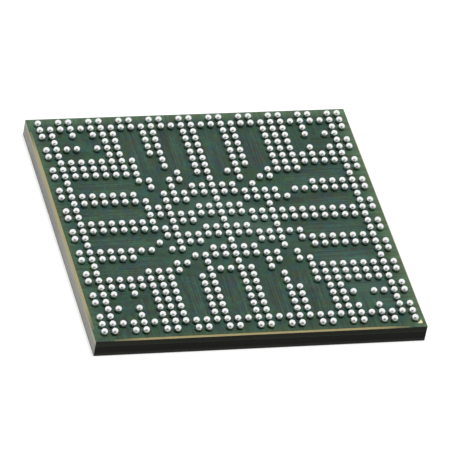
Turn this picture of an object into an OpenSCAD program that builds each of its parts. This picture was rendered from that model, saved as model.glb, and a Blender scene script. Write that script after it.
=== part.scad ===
// Moulded flip-chip ball grid array package, lying on its marking face with the solder balls up.
// Millimetres. The origin is the centre of the marking face and +Z points out through the balls.
// Ball A1 is in the corner towards +X and -Y. Lettered rows follow each other towards -X,
// and the ball numbers in a row count up towards +Y.

/* [Ball grid] */
// Distance between neighbouring ball centres
ball_pitch = 0.5; // [0.45:0.01:0.8]
// Distance from the outermost ball centres to the edges of the package
edge_margin = 0.5; // [0.45:0.01:1]
// Greatest diameter of a solder ball
ball_d = 0.35; // [0.3:0.005:0.38]
// Diameter of the solder mask opening that each ball is seated in
opening_d = 0.22; // [0.18:0.005:0.27]
// Width of the ring of copper land that the mask covers around each opening
land_overlap = 0.04; // [0.02:0.005:0.05]

/* [Substrate] */
// Thickness of the laminate board between the two solder masks
laminate_h = 0.26; // [0.15:0.01:0.6]
// Thickness of the solder mask on each side of the board
mask_h = 0.02; // [0.01:0.005:0.04]
// Thickness of the copper, which lies flush with the laminate's faces
copper_h = 0.018; // [0.01:0.001:0.035]
// Bare laminate that the mask leaves along the saw street at the left edge
street_left = 0.13; // [0.02:0.01:0.2]
// Bare laminate that the mask leaves along the saw street at the front edge
street_front = 0.15; // [0.02:0.01:0.2]
// Bare laminate that the mask leaves along the saw street at the right edge
street_right = 0.04; // [0.01:0.01:0.2]
// Length of mask at each corner that runs right out to the edges
corner_tab = 0.85; // [0.6:0.05:2]

/* [Pin one mark] */
// Length of the two short sides of the bare corner triangle
mark_leg = 0.3; // [0.2:0.01:0.32]
// How far the triangle's square corner lies beyond ball A1's centre, towards the right edge
mark_right = 0.35; // [0.32:0.01:0.38]
// How far the triangle's square corner lies beyond ball A1's centre, towards the front edge
mark_front = 0.25; // [0.22:0.01:0.3]
// Diameter of the laser dot on the marking face
dot_d = 0.8; // [0.4:0.1:1.2]
// Depth of the laser dot
dot_h = 0.02; // [0.01:0.005:0.04]
// Distance of the laser dot's centre from the two edges of the package
dot_inset = 1.2; // [0.9:0.1:2]

/* [Copper traces] */
// Width of a trace on the ball side
trace_w = 0.05; // [0.03:0.005:0.06]
// Distance between the centres of neighbouring traces in a channel
trace_pitch = 0.15; // [0.14:0.005:0.17]
// Traces side by side in a channel
traces_per_channel = 6; // [2:1:6]
// Diameter of the round pad at each end of a trace
via_pad_d = 0.1; // [0.08:0.005:0.12]

/* [Die] */
// Size of the die from left to right
die_x = 7.8; // [4:0.1:9]
// Size of the die from front to back
die_y = 7.2; // [4:0.1:9]
// Thickness of the die
die_h = 0.3; // [0.1:0.01:0.4]
// Thickness of mould compound over the back of the die
mold_over_die = 0.22; // [0.1:0.01:0.4]
// Distance between neighbouring die bumps
bump_pitch = 0.4; // [0.3:0.05:0.8]
// Diameter of a die bump
bump_d = 0.11; // [0.06:0.01:0.15]
// Height of a die bump, which is the gap that the underfill fills
bump_h = 0.06; // [0.04:0.005:0.1]
// Least distance from the bump centres to the edges of the die
bump_margin = 0.2; // [0.1:0.05:0.5]
// Width of the copper land around each die bump
bump_land_overlap = 0.02; // [0.01:0.005:0.04]
// Width of the underfill fillet around the die, where it meets the board
fillet_w = 0.35; // [0.2:0.05:0.6]
// Height of the underfill fillet on the sides of the die
fillet_h = 0.14; // [0.05:0.01:0.2]

/* [Hidden] */
// Where the balls are, drawn as seen from above them: +Y is up, +X is to the right, o is a ball.
BALL_CHART = [
    "o.oo.oo.oo.oo.oo.oo.oo.oo.oo.oo",
    "ooooooooooooooooooooooooooooooo",
    "oo.o.ooo..oo..oo..oo..ooo.o..oo",
    ".o....oo..oo..oo..oo..ooo.o.oo.",
    "oooo.ooo..oo..oo..oo..ooo....oo",
    "oo....oo..oo..oo..oo..ooo.o.ooo",
    ".oooooooo..o..oo..oo..oooooooo.",
    "ooooooooo..o..oo..oo..ooooooooo",
    "ooooooooo...o.oo.oo..oooo....oo",
    ".o......oo.oo..o..o.oo.......o.",
    "oo.......o.o.ooooo.o.....oooooo",
    "oooooooo..oooooooooooo.oooooooo",
    ".oooooooo.ooo..o..ooooo......o.",
    "oo......ooo..ooooo..o........oo",
    "oo......ooooooooooooooooooooooo",
    ".oooooooo.ooo..o..oooooooooooo.",
    "ooooooooooo..ooooo..o........oo",
    "oo.......oooooooooooooo......oo",
    ".o......o.ooo..o..ooo.oooooooo.",
    "oooooooo.oo..ooooo..o..oooooooo",
    "oooooo.....ooooooooo.o.......oo",
    ".o.......oo.o..o..oo.oo......o.",
    "oo....oooo..ooooo.o...ooooooooo",
    "ooooooooo..oo..oo..o..ooooooooo",
    ".oooooooo..oo..oo..o..oooooooo.",
    "ooo.o.ooo..oo..oo..oo..oo....oo",
    "oo....ooo..oo..oo..oo..ooo.oooo",
    ".oo.o.ooo..oo..oo..oo..oo....o.",
    "oo..o.ooo..oo..oo..oo..ooo.o.oo",
    "ooooooooooooooooooooooooooooooo",
    "oo.oo.oo.oo.oo.oo.oo.oo.oo.oo.o"
];
ROW_LETTERS = "abcdefghjklmnprtuvwy";

rows = len(BALL_CHART);
last = rows - 1;
body_side = last * ball_pitch + 2 * edge_margin;
half_side = body_side / 2;

// Heights, from the marking face up
mold_h = mold_over_die + die_h + bump_h;
laminate_z = mold_h + mask_h;
ball_mask_z = laminate_z + laminate_h;
mask_top_z = ball_mask_z + mask_h;

land_d = opening_d + 2 * land_overlap;
// A ball wets its opening right out to the rim, so the rim is the circle that cuts the sphere.
ball_centre_h = sqrt(pow(ball_d / 2, 2) - pow(opening_d / 2, 2));

bump_land_d = bump_d + 2 * bump_land_overlap;
bumps_x = floor((die_x - 2 * bump_margin) / bump_pitch);
bumps_y = floor((die_y - 2 * bump_margin) / bump_pitch);

// Ball-free channels on each side of the package, in steps of the ball pitch: the sideways place
// of a channel at its outer end, and the step that it makes towards the middle of the package.
CHANNELS = [[-6.5, 1], [-2.5, 0], [1.5, 0], [5.5, 0]];
channel_outer = 13.2;
channel_inner = 7.8;
channel_step_at = 10;
via_stagger = 0.5;

// Cutters reach this far past the face that they open
past = 0.01;

function row_name(k) =
    str("ball_row_", k < len(ROW_LETTERS) ? ROW_LETTERS[k] : str("a", ROW_LETTERS[k - len(ROW_LETTERS)]));
function has_ball(k, n) = BALL_CHART[last - n][last - k] == "o";
function ball_place(k, n) = [(last / 2 - k) * ball_pitch, (n - last / 2) * ball_pitch, 0];

$fn = 32;

// ---- patterns ----

// Puts its children at every ball of lettered row k
module at_row(k) {
    for (n = [0:last])
        if (has_ball(k, n))
            translate(ball_place(k, n)) children();
}

module at_every_ball() {
    for (k = [0:last]) at_row(k) children();
}

module at_every_bump() {
    for (i = [0:bumps_x], j = [0:bumps_y])
        translate([(i - bumps_x / 2) * bump_pitch, (j - bumps_y / 2) * bump_pitch, 0]) children();
}

// ---- shapes that one piece has and another makes room for ----

module die_block() {
    translate([-die_x / 2, -die_y / 2, mold_over_die]) cube([die_x, die_y, die_h]);
}

// The fillet leans from the board down to the sides of the die
module fillet_block() {
    foot = [die_x + 2 * fillet_w, die_y + 2 * fillet_w];
    drop = bump_h + fillet_h;
    hull() {
        translate([-foot[0] / 2, -foot[1] / 2, mold_h - bump_h / 2]) cube([foot[0], foot[1], bump_h / 2]);
        translate([-die_x / 2, -die_y / 2, mold_h - drop]) cube([die_x, die_y, drop]);
    }
}

module mark_outline() {
    polygon([[0, 0], [-mark_leg, 0], [0, mark_leg]]);
}

module mark_prism(z, h) {
    translate(ball_place(0, 0) + [mark_right, -mark_front, z]) linear_extrude(h) mark_outline();
}

// One trace along a channel: straight in from the edge, a diagonal step, and straight on
module trace(offset, index) {
    lane = (index - (traces_per_channel - 1) / 2) * trace_pitch;
    x_outer = CHANNELS[offset][0] * ball_pitch + lane;
    step = CHANNELS[offset][1] * ball_pitch;
    y_outer = (channel_outer - (index % 2) * via_stagger) * ball_pitch;
    y_inner = (channel_inner + (index % 2) * via_stagger) * ball_pitch;
    y_step = channel_step_at * ball_pitch;
    bend = [[x_outer, y_outer], [x_outer, y_step], [x_outer + step, y_step - abs(step)],
            [x_outer + step, y_inner]];
    straight = [[x_outer, y_outer], [x_outer, y_inner]];
    copper_route(step == 0 ? straight : bend);
}

module copper_route(points) {
    ends = [points[0], points[len(points) - 1]];
    for (p = ends) translate(p) cylinder(d = via_pad_d, h = copper_h);
    for (p = points) translate(p) cylinder(d = trace_w, h = copper_h);
    for (i = [1:len(points) - 1]) {
        run = points[i] - points[i - 1];
        translate(points[i - 1]) rotate(atan2(run[1], run[0]))
            translate([0, -trace_w / 2, 0]) cube([norm(run), trace_w, copper_h]);
    }
}

module all_traces() {
    for (side = [0:3], channel = [0:len(CHANNELS) - 1], index = [0:traces_per_channel - 1])
        rotate(90 * side) trace(channel, index);
}

// ---- moulding and die ----

module mold_cap() {
    color([0.15, 0.15, 0.14])
        difference() {
            translate([-half_side, -half_side, 0]) cube([body_side, body_side, mold_h]);
            die_block();
            fillet_block();
            translate([half_side - dot_inset, dot_inset - half_side, -past])
                cylinder(d = dot_d, h = dot_h + past);
        }
}

module silicon_die() {
    color([0.45, 0.46, 0.5]) die_block();
}

module die_bumps() {
    color([0.8, 0.55, 0.35])
        translate([0, 0, mold_h - bump_h]) at_every_bump() cylinder(d = bump_d, h = bump_h);
}

module underfill() {
    color([0.2, 0.2, 0.22])
        difference() {
            fillet_block();
            die_block();
            translate([0, 0, mold_h - bump_h - past]) at_every_bump() cylinder(d = bump_d, h = bump_h + 2 * past);
        }
}

// ---- substrate ----

module die_side_lands() {
    color([0.85, 0.6, 0.35])
        translate([0, 0, laminate_z - mask_h]) at_every_bump() {
            cylinder(d = bump_d, h = mask_h);
            translate([0, 0, mask_h]) cylinder(d = bump_land_d, h = copper_h);
        }
}

module die_side_mask() {
    color([0.2, 0.38, 0.3])
        translate([0, 0, mold_h])
            difference() {
                translate([-half_side, -half_side, 0]) cube([body_side, body_side, mask_h]);
                translate([0, 0, -past]) at_every_bump() cylinder(d = bump_d, h = mask_h + 2 * past);
            }
}

module laminate_core() {
    color([0.68, 0.64, 0.45])
        difference() {
            translate([-half_side, -half_side, laminate_z]) cube([body_side, body_side, laminate_h]);
            translate([0, 0, laminate_z - past]) at_every_bump() cylinder(d = bump_land_d, h = copper_h + past);
            translate([0, 0, ball_mask_z - copper_h]) at_every_ball() cylinder(d = land_d, h = copper_h + past);
            translate([0, 0, ball_mask_z - copper_h]) all_traces();
            mark_prism(ball_mask_z - copper_h, copper_h + past);
        }
}

module ball_lands() {
    color([0.85, 0.6, 0.35])
        translate([0, 0, ball_mask_z - copper_h]) at_every_ball() cylinder(d = land_d, h = copper_h);
}

module channel_traces() {
    color([0.85, 0.6, 0.35])
        translate([0, 0, ball_mask_z - copper_h]) all_traces();
}

module pin_one_mark() {
    color([0.98, 0.9, 0.62]) mark_prism(ball_mask_z - copper_h, copper_h);
}

// The saw streets stop short of the corners, where the mask runs out to the edges
module streets() {
    street_length = body_side - 2 * corner_tab;
    cut_h = mask_h + 2 * past;
    translate([-half_side - past, -street_length / 2, 0]) cube([street_left + past, street_length, cut_h]);
    translate([half_side - street_right, -street_length / 2, 0]) cube([street_right + past, street_length, cut_h]);
    translate([-street_length / 2, -half_side - past, 0]) cube([street_length, street_front + past, cut_h]);
}

module ball_side_mask() {
    color([0.24, 0.35, 0.27])
        difference() {
            translate([-half_side, -half_side, ball_mask_z]) cube([body_side, body_side, mask_h]);
            translate([0, 0, ball_mask_z - past]) streets();
            translate([0, 0, ball_mask_z - past]) at_every_ball() cylinder(d = opening_d, h = mask_h + 2 * past);
            mark_prism(ball_mask_z - past, mask_h + 2 * past);
        }
}

// ---- solder balls ----

// A sphere cut off at the rim of its opening, on the neck of solder that fills the opening
module solder_ball() {
    translate([0, 0, ball_mask_z]) cylinder(d = opening_d, h = mask_h);
    difference() {
        translate([0, 0, mask_top_z + ball_centre_h]) sphere(d = ball_d);
        translate([-ball_d, -ball_d, mask_top_z - ball_d]) cube([2 * ball_d, 2 * ball_d, ball_d]);
    }
}

module ball_row(k) {
    color([0.86, 0.87, 0.87]) at_row(k) solder_ball();
}

mold_cap();
silicon_die();
die_bumps();
underfill();
die_side_lands();
die_side_mask();
laminate_core();
ball_lands();
channel_traces();
pin_one_mark();
ball_side_mask();
for (k = [0:last]) ball_row(k);
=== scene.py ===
"""Looks of a ball grid array chip that lies on its marking face with the solder balls up."""

import math

import bpy
import numpy as np
from mathutils import Matrix, Vector


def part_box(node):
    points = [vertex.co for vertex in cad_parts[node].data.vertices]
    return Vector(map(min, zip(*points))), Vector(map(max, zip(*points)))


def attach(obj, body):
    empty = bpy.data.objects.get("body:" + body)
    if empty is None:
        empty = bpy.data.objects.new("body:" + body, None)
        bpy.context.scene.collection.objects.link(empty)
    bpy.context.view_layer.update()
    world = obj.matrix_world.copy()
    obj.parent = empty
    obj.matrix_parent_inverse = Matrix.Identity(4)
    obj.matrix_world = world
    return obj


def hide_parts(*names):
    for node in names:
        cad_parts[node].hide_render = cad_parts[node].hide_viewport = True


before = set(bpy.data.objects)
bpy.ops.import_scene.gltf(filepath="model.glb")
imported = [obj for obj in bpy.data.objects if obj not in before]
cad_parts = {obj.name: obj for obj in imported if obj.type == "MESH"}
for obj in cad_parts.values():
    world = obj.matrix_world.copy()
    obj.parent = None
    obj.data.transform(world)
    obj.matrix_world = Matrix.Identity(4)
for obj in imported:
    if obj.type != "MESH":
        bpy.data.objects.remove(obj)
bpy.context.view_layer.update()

MM = 0.001

# ---- places taken from the frame ----

BALL_ROWS = sorted(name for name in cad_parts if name.startswith("ball_row_"))
MASK_LOW, MASK_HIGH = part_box("ball_side_mask")
MASK_TOP = MASK_HIGH.z
ROW_LOW, ROW_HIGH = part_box(BALL_ROWS[0])
BALL_RADIUS = (ROW_HIGH.x - ROW_LOW.x) / 2
BALL_TOP = ROW_HIGH.z
BALL_CENTRE = BALL_TOP - BALL_RADIUS
RIM_RADIUS = math.sqrt(BALL_RADIUS**2 - (BALL_CENTRE - MASK_TOP) ** 2)


# ---- node helpers ----

def new_material(name):
    material = bpy.data.materials.new(name)
    material.use_nodes = True
    nodes = material.node_tree.nodes
    return material, nodes, material.node_tree.links, nodes["Principled BSDF"]


def object_coords(nodes):
    return nodes.new("ShaderNodeTexCoord").outputs["Object"]


def noise(nodes, links, coords, scale, detail=3.0, roughness=0.5, stretch=(1, 1, 1)):
    """Noise over coords, scale in cycles a metre; a small factor in stretch draws it out along that axis."""
    mapping = nodes.new("ShaderNodeMapping")
    mapping.inputs["Scale"].default_value = stretch
    texture = nodes.new("ShaderNodeTexNoise")
    texture.inputs["Scale"].default_value = scale
    texture.inputs["Detail"].default_value = detail
    texture.inputs["Roughness"].default_value = roughness
    links.new(coords, mapping.inputs["Vector"])
    links.new(mapping.outputs["Vector"], texture.inputs["Vector"])
    return texture.outputs["Fac"]


def ramp(nodes, links, factor, stops):
    """A colour ramp through (position, colour) stops; a plain number is a grey."""
    node = nodes.new("ShaderNodeValToRGB")
    elements = node.color_ramp.elements
    while len(elements) < len(stops):
        elements.new(0.5)
    for element, (position, colour) in zip(elements, stops):
        element.position = position
        element.color = (*((colour,) * 3 if isinstance(colour, (int, float)) else colour), 1)
    links.new(factor, node.inputs["Fac"])
    return node.outputs["Color"]


def mix_colour(nodes, links, factor, a, b, blend="MIX"):
    node = nodes.new("ShaderNodeMix")
    node.data_type = "RGBA"
    node.blend_type = blend
    for socket, value in ((node.inputs[0], factor), (node.inputs[6], a), (node.inputs[7], b)):
        if hasattr(value, "is_output"):
            links.new(value, socket)
        else:
            socket.default_value = value if isinstance(value, (int, float)) else (*value[:3], 1)
    return node.outputs[2]


def maths(nodes, links, operation, a, b=0.0):
    node = nodes.new("ShaderNodeMath")
    node.operation = operation
    for socket, value in zip(node.inputs, (a, b)):
        if hasattr(value, "is_output"):
            links.new(value, socket)
        else:
            socket.default_value = value
    return node.outputs[0]


def map_range(nodes, links, value, low, high, to_low, to_high):
    node = nodes.new("ShaderNodeMapRange")
    node.interpolation_type = "SMOOTHSTEP"
    links.new(value, node.inputs["Value"])
    for name, number in (("From Min", low), ("From Max", high), ("To Min", to_low), ("To Max", to_high)):
        node.inputs[name].default_value = number
    return node.outputs["Result"]


def bump(nodes, links, height, distance, strength=1.0):
    node = nodes.new("ShaderNodeBump")
    node.inputs["Strength"].default_value = strength
    node.inputs["Distance"].default_value = distance
    links.new(height, node.inputs["Height"])
    return node.outputs["Normal"]


def separate(nodes, links, vector):
    node = nodes.new("ShaderNodeSeparateXYZ")
    links.new(vector, node.inputs["Vector"])
    return node.outputs


# ---- materials ----

def solder_material():
    material, nodes, links, shader = new_material("solder")
    coords = object_coords(nodes)
    each = noise(nodes, links, coords, 900, 1)
    tone = noise(nodes, links, coords, 5200, 3)
    grain = noise(nodes, links, coords, 26000, 3)
    base = ramp(nodes, links, tone, [(0.3, (0.92, 0.93, 0.925)), (0.7, (0.99, 0.995, 0.99))])
    # Painted shade: the downward-facing lower part of each ball is darkened towards near black, standing in
    # for the shadowed mask it reflects.
    facing_up = separate(nodes, links, nodes.new("ShaderNodeNewGeometry").outputs["Normal"])["Z"]
    foot = map_range(nodes, links, facing_up, -0.55, 0.05, 0.85, 0.0)
    base = mix_colour(nodes, links, foot, base, (0.12, 0.12, 0.1))
    links.new(base, shader.inputs["Base Color"])
    shader.inputs["Metallic"].default_value = 1.0
    matt = mix_colour(nodes, links, 0.5, each, grain)
    links.new(ramp(nodes, links, matt, [(0.35, 0.19), (0.65, 0.32)]), shader.inputs["Roughness"])
    links.new(bump(nodes, links, mix_colour(nodes, links, 0.3, tone, grain), 0.012 * MM, 0.55),
              shader.inputs["Normal"])
    return material


def patch_around(nodes, links, coords, centre, turn, length, width):
    """1 in the middle of an oval, falling smoothly to 0 at its edge; centre and half sizes in millimetres."""
    place = nodes.new("ShaderNodeMapping")
    place.vector_type = "TEXTURE"
    place.inputs["Location"].default_value = (centre[0] * MM, centre[1] * MM, 0)
    place.inputs["Rotation"].default_value = (0, 0, math.radians(turn))
    place.inputs["Scale"].default_value = (length * MM, width * MM, 1)
    links.new(coords, place.inputs["Vector"])
    reach = nodes.new("ShaderNodeVectorMath")
    reach.operation = "LENGTH"
    links.new(place.outputs["Vector"], reach.inputs[0])
    return map_range(nodes, links, reach.outputs["Value"], 0.2, 1.0, 1.0, 0.0)


# Oval patches of painted sheen that lighten the mask: centre, turn in degrees, half length, half width, and
# how much lighter
PAINTED_SHEEN_PATCHES = [
    ((1.0, 0.1), -40, 4.2, 1.6, 0.45),
    ((5.6, -4.6), -60, 3.0, 2.2, 0.35),
    ((-1.0, -0.5), 0, 3.6, 3.6, 0.25),
]


def mask_material(name, lift=1.0, copper=0.0):
    """Green solder mask: mottled, streaked along the channels, lighter at the rim, and lighter in broad
    patches of painted sheen.
    """
    material, nodes, links, shader = new_material(name)
    coords = object_coords(nodes)
    across, along = separate(nodes, links, coords)[:2]
    x, y = (maths(nodes, links, "ABSOLUTE", part) for part in (across, along))
    out = maths(nodes, links, "MAXIMUM", x, y)
    mottle = noise(nodes, links, coords, 7500, 3, 0.6)
    patch = noise(nodes, links, coords, 1500, 3, 0.65)
    base = ramp(nodes, links, mix_colour(nodes, links, 0.4, mottle, patch), [
        (0.36, tuple(lift * c for c in (0.048 + copper, 0.06, 0.054 + copper))),
        (0.5, tuple(lift * c for c in (0.039 + copper, 0.076, 0.055 + copper))),
        (0.64, tuple(lift * c for c in (0.042 + copper, 0.108, 0.068 + copper))),
    ])
    tint = mix_colour(nodes, links, 0.5, noise(nodes, links, coords, 5600, 2, 0.6, (1, 1, 0.7)),
                      noise(nodes, links, coords, 1900, 2, 0.6, (1, 1, 0.7)))
    tint = ramp(nodes, links, tint, [(0.38, (1.12, 1.02, 0.72)), (0.62, (0.88, 0.98, 1.3))])
    base = mix_colour(nodes, links, 1.0, base, tint, "MULTIPLY")
    # Painted sheen: broad ovals where the mask is lightened towards teal green.
    for *oval, share in PAINTED_SHEEN_PATCHES:
        share = maths(nodes, links, "MULTIPLY", patch_around(nodes, links, coords, *oval), share)
        base = mix_colour(nodes, links, share, base, (0.085 * lift, 0.15 * lift, 0.125 * lift))
    for side, low, share in ((across, 6.9, 0.7), (along, 7.2, 0.4), (out, 7.3, 0.3)):
        rim = map_range(nodes, links, side, low * MM, 8.0 * MM, 0.0, share)
        base = mix_colour(nodes, links, rim, base, (0.11, 0.175, 0.1))
    across_x = maths(nodes, links, "GREATER_THAN", x, y)
    streaks = mix_colour(nodes, links, across_x, noise(nodes, links, coords, 8500, 2, 0.5, (1, 0.05, 1)),
                         noise(nodes, links, coords, 8500, 2, 0.5, (0.05, 1, 1)))
    streaks = ramp(nodes, links, streaks, [(0.35, (0.92, 0.78, 0.84)), (0.65, (1.1, 1.22, 1.16))])
    outer = map_range(nodes, links, out, 3.2 * MM, 4.2 * MM, 0.25, 1.0)
    base = mix_colour(nodes, links, outer, base, mix_colour(nodes, links, 1.0, base, streaks, "MULTIPLY"))
    links.new(base, shader.inputs["Base Color"])
    links.new(ramp(nodes, links, mottle, [(0.3, 0.45), (0.7, 0.6)]), shader.inputs["Roughness"])
    shader.inputs["Specular IOR Level"].default_value = 0.1
    links.new(bump(nodes, links, mottle, 0.004 * MM, 0.5), shader.inputs["Normal"])
    return material


def sawn_material(name, front, side, roughness=0.5, top=None, painted_highlight_share=0.0):
    """
    Sawn faces with fine lengthwise saw marks. The faces along Y take the lighter colour side and the faces
    along X the darker colour front, lit and shaded copies of one surface: painted light and painted shade.
    Faces that look up take the colour top, which dulls to green at the ends of a strip, and the moulded
    face that looks down keeps the colour front, with no saw marks.
    """
    material, nodes, links, shader = new_material(name)
    coords = object_coords(nodes)
    normal = separate(nodes, links, nodes.new("ShaderNodeNewGeometry").outputs["Normal"])
    painted_light_share = maths(nodes, links, "ABSOLUTE", normal["X"])
    marks = mix_colour(nodes, links, 0.4, noise(nodes, links, coords, 14000, 3, 0.6, (0.015, 0.015, 1)),
                       noise(nodes, links, coords, 5000, 2, 0.5, (0.05, 0.05, 1)))
    grit = noise(nodes, links, coords, 16000, 3, 0.65)
    upright = maths(nodes, links, "SUBTRACT", 1.0, maths(nodes, links, "ABSOLUTE", normal["Z"]))
    marks = mix_colour(nodes, links, upright, grit, marks)
    # Painted light and shade: faces along Y take the lighter colour side; faces along X and the face that
    # looks down take the darker colour front.
    colour = mix_colour(nodes, links, painted_light_share, front, side)
    for pattern, shades in ((marks, [(0.36, 0.62), (0.64, 1.4)]), (grit, [(0.3, 0.75), (0.7, 1.25)])):
        colour = mix_colour(nodes, links, 1.0, colour, ramp(nodes, links, pattern, shades), "MULTIPLY")
    if painted_highlight_share:
        # Painted highlight: the bottom 0.25 mm of the upright faces is lightened towards grey, standing in
        # for light from the floor along the lower edge.
        painted_edge_highlight = map_range(nodes, links, separate(nodes, links, coords)["Z"], 0.0, 0.25 * MM, painted_highlight_share, 0.0)
        painted_edge_highlight = maths(nodes, links, "MULTIPLY", painted_edge_highlight, upright)
        colour = mix_colour(nodes, links, painted_edge_highlight, colour, (0.12, 0.115, 0.1))
    if top is not None:
        x, y = (maths(nodes, links, "ABSOLUTE", part) for part in separate(nodes, links, coords)[:2])
        ends = map_range(nodes, links, maths(nodes, links, "MINIMUM", x, y), 5.4 * MM, 7.15 * MM, 0.0, 0.8)
        top = mix_colour(nodes, links, ends, top, (0.06, 0.1, 0.06))
        colour = mix_colour(nodes, links, maths(nodes, links, "MAXIMUM", normal["Z"], 0.0), colour, top)
    links.new(colour, shader.inputs["Base Color"])
    shader.inputs["Roughness"].default_value = roughness
    shader.inputs["Specular IOR Level"].default_value = 0.12
    shader.inputs["Sheen Weight"].default_value = 0.75
    shader.inputs["Sheen Roughness"].default_value = 0.4
    shader.inputs["Sheen Tint"].default_value = (0.95, 0.94, 0.88, 1)
    both = mix_colour(nodes, links, 0.5, marks, grit)
    links.new(bump(nodes, links, both, 0.01 * MM, 0.7), shader.inputs["Normal"])
    return material


def metal_material(name, low, high, roughness):
    material, nodes, links, shader = new_material(name)
    coords = object_coords(nodes)
    tone = noise(nodes, links, coords, 6000, 3)
    links.new(ramp(nodes, links, tone, [(0.3, low), (0.7, high)]), shader.inputs["Base Color"])
    shader.inputs["Metallic"].default_value = 1.0
    shader.inputs["Roughness"].default_value = roughness
    links.new(bump(nodes, links, tone, 0.003 * MM, 0.4), shader.inputs["Normal"])
    return material


def dress(names, material):
    for name in names:
        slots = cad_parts[name].data.materials
        slots.clear()
        slots.append(material)


# ---- solder balls ----

BALL_SEGMENTS = 28
BALL_RINGS = 14


def ball_places(node):
    """Centres of the balls in a row node: its vertices fall into groups along Y, one for each ball."""
    points = np.array([v.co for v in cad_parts[node].data.vertices])
    points = points[points[:, 1].argsort()]
    cuts = np.flatnonzero(np.diff(points[:, 1]) > BALL_RADIUS / 2) + 1
    return [(g[:, :2].min(0) + g[:, :2].max(0)) / 2 for g in np.split(points, cuts)]


def ball_template():
    """Vertices and faces of one ball around the origin in X and Y: neck, wetted rim, sphere and top."""
    rim_angle = math.acos((BALL_CENTRE - MASK_TOP) / BALL_RADIUS)
    profile = [(RIM_RADIUS, MASK_LOW.z)]
    for ring in range(BALL_RINGS):
        polar = math.pi - rim_angle - (math.pi - rim_angle) * ring / BALL_RINGS
        profile.append((BALL_RADIUS * math.sin(polar), BALL_CENTRE + BALL_RADIUS * math.cos(polar)))
    turns = np.arange(BALL_SEGMENTS) * 2 * math.pi / BALL_SEGMENTS
    vertices = [(r * math.cos(a), r * math.sin(a), z) for r, z in profile for a in turns]
    faces = [tuple(reversed(range(BALL_SEGMENTS)))]
    for ring in range(len(profile) - 1):
        for i in range(BALL_SEGMENTS):
            j = (i + 1) % BALL_SEGMENTS
            low, high = ring * BALL_SEGMENTS, (ring + 1) * BALL_SEGMENTS
            faces.append((low + i, low + j, high + j, high + i))
    crown = (len(profile) - 1) * BALL_SEGMENTS
    vertices.append((0, 0, BALL_TOP))
    faces += [(crown + i, crown + (i + 1) % BALL_SEGMENTS, len(vertices) - 1) for i in range(BALL_SEGMENTS)]
    return np.array(vertices), faces


def build_ball_row(node, template, material):
    points, faces = template
    vertices, all_faces = [], []
    for x, y in ball_places(node):
        start = len(vertices) * len(points)
        vertices.append(points + (x, y, 0))
        all_faces += [tuple(start + i for i in face) for face in faces]
    mesh = bpy.data.meshes.new("solder_" + node)
    mesh.from_pydata(np.concatenate(vertices).tolist(), [], all_faces)
    mesh.shade_smooth()
    mesh.materials.append(material)
    piece = bpy.data.objects.new("solder_" + node, mesh)
    bpy.context.scene.collection.objects.link(piece)
    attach(piece, "root")
    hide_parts(node)


# ---- relief of the solder mask over the copper under it ----

RELIEF_HEIGHT = 0.007 * MM
RELIEF_SLOPE = 0.012 * MM
TENT_RADIUS = 0.075 * MM


def top_outlines(node):
    """Outlines, seen from above, of the top faces of each solid in a node, counter-clockwise."""
    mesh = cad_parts[node].data
    places = [(round(v.co.x * 1e7), round(v.co.y * 1e7)) for v in mesh.vertices]
    top = max(v.co.z for v in mesh.vertices)
    sides = set()
    for polygon in mesh.polygons:
        ring = list(polygon.vertices)
        if all(top - mesh.vertices[i].co.z < 0.001 * MM for i in ring):
            sides |= {(places[a], places[b]) for a, b in zip(ring, ring[1:] + ring[:1])}
    follow = {a: b for a, b in sides if (b, a) not in sides}
    outlines = []
    while follow:
        start, at = min(follow.items())
        del follow[start]
        outline = [start]
        while at != start:
            outline.append(at)
            at = follow.pop(at)
        outlines.append(np.array(outline) * 1e-7)
    return outlines


def grown(outline, distance):
    """A counter-clockwise outline moved outwards by a distance, with its corners kept."""
    ahead = np.roll(outline, -1, 0) - outline
    ahead /= np.linalg.norm(ahead, axis=1)[:, None]
    after = np.stack([ahead[:, 1], -ahead[:, 0]], 1)
    before = np.roll(after, 1, 0)
    share = np.clip(1 + (after * before).sum(1), 0.4, 2)[:, None]
    return outline + distance * (after + before) / share


def circle(centre, radius, sides=20):
    turns = np.arange(sides) * 2 * math.pi / sides
    return np.stack([centre[0] + radius * np.cos(turns), centre[1] + radius * np.sin(turns)], 1)


def build_relief(name, outlines, height, material):
    """Low banks of mask: each outline is the flat top of one, with sides that slope down to the mask."""
    vertices, faces = [], []
    for outline in outlines:
        start, count = len(vertices), len(outline)
        foot, shoulder = grown(outline, RELIEF_SLOPE), grown(outline, RELIEF_SLOPE / 3)
        for ring, z in ((foot, 0), (shoulder, 0.8 * height), (outline, height)):
            vertices += [(px, py, MASK_TOP + z) for px, py in ring]
        for ring in (start, start + count):
            faces += [(ring + i, ring + (i + 1) % count, ring + count + (i + 1) % count, ring + count + i)
                      for i in range(count)]
        faces.append(tuple(range(start + 2 * count, start + 3 * count)))
    mesh = bpy.data.meshes.new(name)
    mesh.from_pydata(vertices, [], faces)
    mesh.shade_smooth()
    mesh.materials.append(material)
    piece = bpy.data.objects.new(name, mesh)
    bpy.context.scene.collection.objects.link(piece)
    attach(piece, "root")


def tented_vias(places):
    """A small tent of mask over the via in the middle of every four neighbouring balls."""
    columns = sorted({x for x, y in places})
    pitch = min(b - a for a, b in zip(columns, columns[1:]))
    taken = {(round(x / pitch), round(y / pitch)) for x, y in places}
    return [circle(((i + 0.5) * pitch, (j + 0.5) * pitch), TENT_RADIUS) for i, j in sorted(taken)
            if {(i + 1, j), (i, j + 1), (i + 1, j + 1)} <= taken]


# ---- stage, light and camera ----

def towards(azimuth, elevation):
    """Unit vector out from the chip; azimuth 0 is towards -Y, and 90 is towards +X."""
    a, e = math.radians(azimuth), math.radians(elevation)
    return Vector((math.sin(a) * math.cos(e), -math.cos(a) * math.cos(e), math.sin(e)))


FLOOR_GAP = 0.02 * MM


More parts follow.
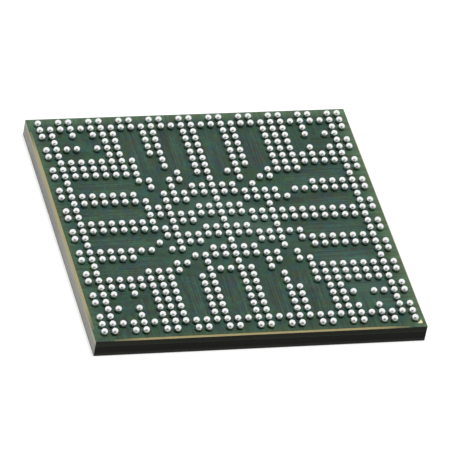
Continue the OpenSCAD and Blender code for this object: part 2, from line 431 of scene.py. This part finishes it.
def build_floor(base=0.5, lift=0.62):
    """Pale floor just clear of the marking face, lifted to white for the camera alone."""
    bpy.ops.mesh.primitive_plane_add(size=1.6, location=(0, 0, -FLOOR_GAP))
    floor = bpy.context.object
    floor.name = "floor"
    material, nodes, links, shader = new_material("floor")
    shader.inputs["Base Color"].default_value = (base, base, base, 1)
    shader.inputs["Roughness"].default_value = 0.9
    shader.inputs["Specular IOR Level"].default_value = 0.1
    path = nodes.new("ShaderNodeLightPath").outputs
    glow = maths(nodes, links, "MULTIPLY", path["Is Camera Ray"], lift)
    links.new(glow, shader.inputs["Emission Strength"])
    shader.inputs["Emission Color"].default_value = (1, 1, 1, 1)
    floor.data.materials.append(material)


def build_world(ambient=0.1, opening=0.2):
    """White studio dome; in reflections it has a darker opening in front, low on the left."""
    world = bpy.data.worlds.new("studio")
    bpy.context.scene.world = world
    world.use_nodes = True
    nodes, links = world.node_tree.nodes, world.node_tree.links
    background = nodes["Background"]
    background.inputs["Color"].default_value = (1, 1, 1, 1)
    path = nodes.new("ShaderNodeLightPath").outputs
    facing = nodes.new("ShaderNodeVectorMath")
    facing.operation = "DOT_PRODUCT"
    links.new(nodes.new("ShaderNodeTexCoord").outputs["Generated"], facing.inputs[0])
    facing.inputs[1].default_value = towards(-20, 15)
    dome = map_range(nodes, links, facing.outputs["Value"], math.cos(math.radians(66)),
                     math.cos(math.radians(22)), 1.0, opening)
    seen = maths(nodes, links, "MAXIMUM", path["Is Camera Ray"], path["Is Transmission Ray"])
    plain = maths(nodes, links, "MAXIMUM", seen, ambient)
    strength = nodes.new("ShaderNodeMix")
    links.new(path["Is Glossy Ray"], strength.inputs[0])
    links.new(plain, strength.inputs[2])
    links.new(dome, strength.inputs[3])
    links.new(strength.outputs[0], background.inputs["Strength"])


def build_lamp(name, azimuth, elevation, distance, size, power, in_reflections=True):
    """A square soft box that looks at the chip."""
    data = bpy.data.lights.new(name, "AREA")
    data.shape = "SQUARE"
    data.size = size
    data.energy = power
    lamp = bpy.data.objects.new(name, data)
    back = towards(azimuth, elevation)
    lamp.location = back * distance
    lamp.rotation_euler = back.to_track_quat("Z", "Y").to_euler()
    lamp.visible_glossy = in_reflections
    bpy.context.scene.collection.objects.link(lamp)


# The view: where the camera stands, its roll, and its long lens
CAMERA_PLACE = Vector((-68.082, -182.122, 160.605)) * MM
CAMERA_RIGHT = Vector((0.9618, -0.2302, 0.1479))
CAMERA_AHEAD = Vector((0.2708, 0.7233, -0.6352))
CAMERA_LENS = 424.7


def build_camera():
    data = bpy.data.cameras.new("camera")
    data.lens = CAMERA_LENS
    data.sensor_width = 36
    data.clip_start = 0.005
    data.clip_end = 10
    camera = bpy.data.objects.new("camera", data)
    ahead = CAMERA_AHEAD.normalized()
    right = (CAMERA_RIGHT - ahead * CAMERA_RIGHT.dot(ahead)).normalized()
    turn = Matrix((right, right.cross(ahead), -ahead)).transposed()
    camera.matrix_world = Matrix.Translation(CAMERA_PLACE) @ turn.to_4x4()
    bpy.context.scene.collection.objects.link(camera)
    bpy.context.scene.camera = camera


build_camera()
build_world()
build_floor()
build_lamp("key_soft_box", 80, 82, 0.6, 0.15, 2.75, False)
build_lamp("left_soft_box", -108, 12, 0.6, 0.3, 3.9, False)

solder = solder_material()
template = ball_template()
balls = []
for row in BALL_ROWS:
    build_ball_row(row, template, solder)
    balls += [tuple(place) for place in ball_places(row)]

dress(["ball_side_mask", "die_side_mask"], mask_material("solder_mask"))
over_copper = mask_material("solder_mask_over_copper", 1.1, 0.008)
build_relief("mask_over_traces", top_outlines("channel_traces"), RELIEF_HEIGHT, over_copper)
build_relief("mask_over_vias", tented_vias(balls), RELIEF_HEIGHT, over_copper)

dress(["mold_cap"], sawn_material("mold_compound", front=(0.005, 0.005, 0.0045), side=(0.18, 0.18, 0.168),
                                  painted_highlight_share=0.5))
dress(["laminate_core"], sawn_material("laminate", front=(0.02, 0.022, 0.014), side=(0.26, 0.245, 0.185),
                                       top=(0.36, 0.31, 0.15)))
dress(["pin_one_mark"], metal_material("gold_finish", (0.95, 0.85, 0.5), (1.0, 0.93, 0.62), 0.3))
copper = metal_material("copper", (0.75, 0.4, 0.25), (0.85, 0.5, 0.3), 0.35)
dress(["ball_lands", "channel_traces", "die_side_lands", "die_bumps"], copper)
dress(["silicon_die"], metal_material("silicon", (0.3, 0.31, 0.34), (0.38, 0.39, 0.42), 0.2))
dress(["underfill"], sawn_material("underfill_resin", front=(0.04, 0.04, 0.045), side=(0.06, 0.06, 0.065),
                                   roughness=0.3))

bpy.context.scene.view_settings.view_transform = "Standard"
